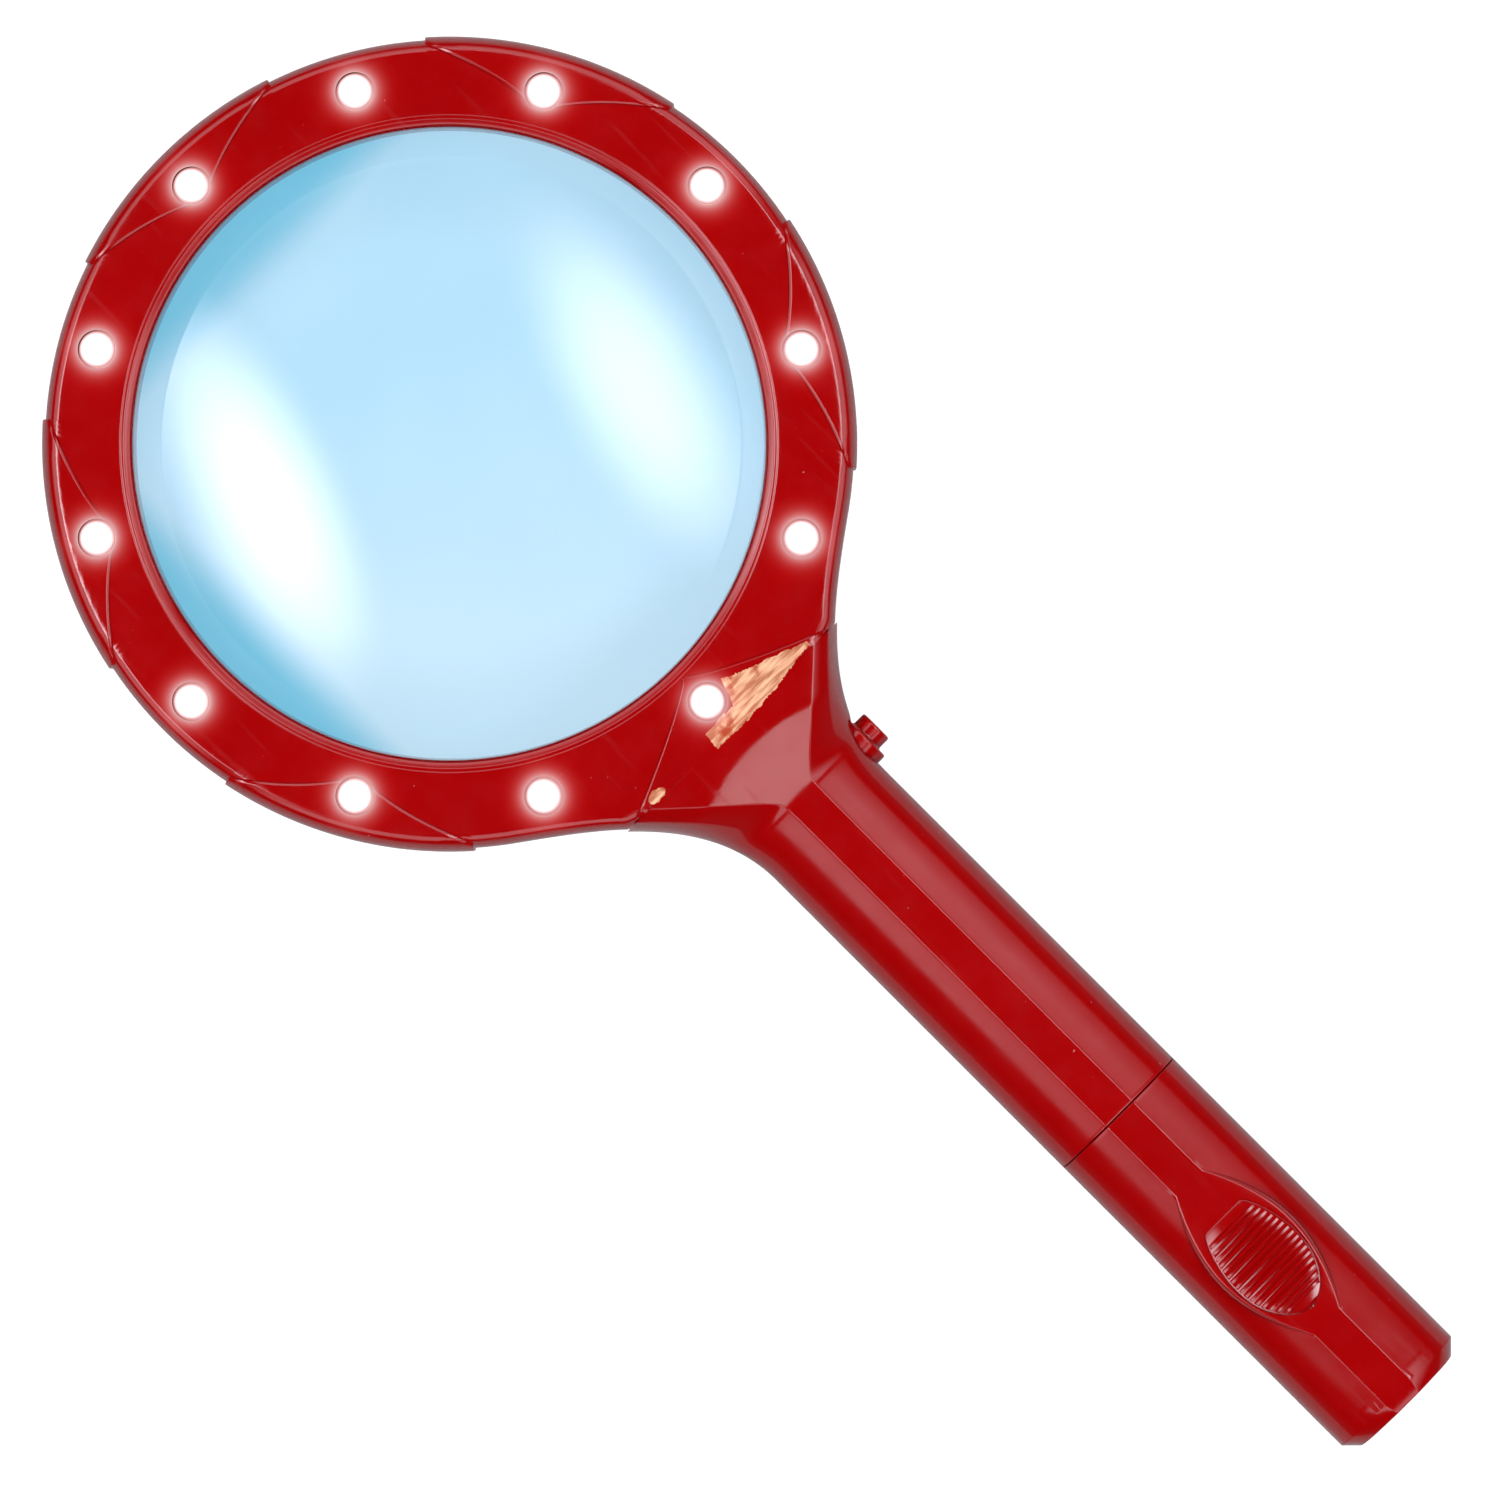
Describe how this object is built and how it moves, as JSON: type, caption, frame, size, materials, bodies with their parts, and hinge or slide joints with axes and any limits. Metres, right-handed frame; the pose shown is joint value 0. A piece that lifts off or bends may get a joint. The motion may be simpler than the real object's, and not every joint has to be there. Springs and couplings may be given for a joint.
{
  "type": "low vision magnifier",
  "caption": "Hand-held round magnifying lens in a lit red ring with raised petals, on a straight battery handle with a side push button and a sliding cover.",
  "frame": {"origin": "centre of the bounding box in plan, on the surface that the magnifier lies on", "axes": "+Z out of the lamp side, -Y along the handle to its tail, +X to the push button's side"},
  "size_m": [0.1162, 0.2532, 0.0207],
  "materials": {
    "red_plastic": "polished moulded",
    "clear_acrylic": "polished lens",
    "lamp_epoxy": "clear water-white epoxy, lit",
    "black_plastic": "moulded",
    "board_green": "solder resist",
    "resistor_blue": "lacquer",
    "stem_white": "moulded",
    "steel": "zinc plated",
    "nickel_plate": "nickel plated",
    "cell_sleeve": "printed film without print",
    "wire_red": "PVC",
    "wire_black": "PVC",
    "wire_yellow": "PVC"
  },
  "bodies": {
    "handle_body": {"front_shell": "red_plastic", "rear_shell": "red_plastic", "lens": "clear_acrylic", "lens_retaining_ring": "black_plastic", "led_board": "board_green", "current_resistor": "resistor_blue", "switch_housing": "black_plastic", "switch_spring": "steel", "switch_terminal_1": "steel", "switch_terminal_2": "steel", "aa_cell_upper": "cell_sleeve", "aa_cell_lower": "cell_sleeve", "positive_contact": "nickel_plate", "tail_spring": "nickel_plate", "tail_contact_plate": "nickel_plate", "return_strip": "nickel_plate", "red_wire": "wire_red", "black_wire": "wire_black", "switch_wire": "wire_yellow", "led_01": "lamp_epoxy", "led_02": "lamp_epoxy", "led_03": "lamp_epoxy", "led_04": "lamp_epoxy", "led_05": "lamp_epoxy", "led_06": "lamp_epoxy", "led_07": "lamp_epoxy", "led_08": "lamp_epoxy", "led_09": "lamp_epoxy", "led_10": "lamp_epoxy", "led_11": "lamp_epoxy", "led_12": "lamp_epoxy", "ring_screw_1": "steel", "ring_screw_2": "steel", "ring_screw_3": "steel", "ring_screw_4": "steel", "ring_screw_5": "steel", "ring_screw_6": "steel", "neck_screw_1": "steel", "neck_screw_2": "steel"},
    "button": {"button_cap": "red_plastic", "switch_plunger": "stem_white"},
    "cover": {"battery_cover": "red_plastic"}
  },
  "joints": [
    {"name": "button_press", "type": "slide", "parent": "handle_body", "child": "button", "axis": [-1, 0, 0], "range_m": [0, 0.0015], "stiffness_N_per_m": 700, "springref_m": -0.0008, "deforming": ["switch_spring"]},
    {"name": "cover_slide", "type": "slide", "parent": "handle_body", "child": "cover", "axis": [0, -1, 0], "range_m": [0, 0.065]}
  ]
}
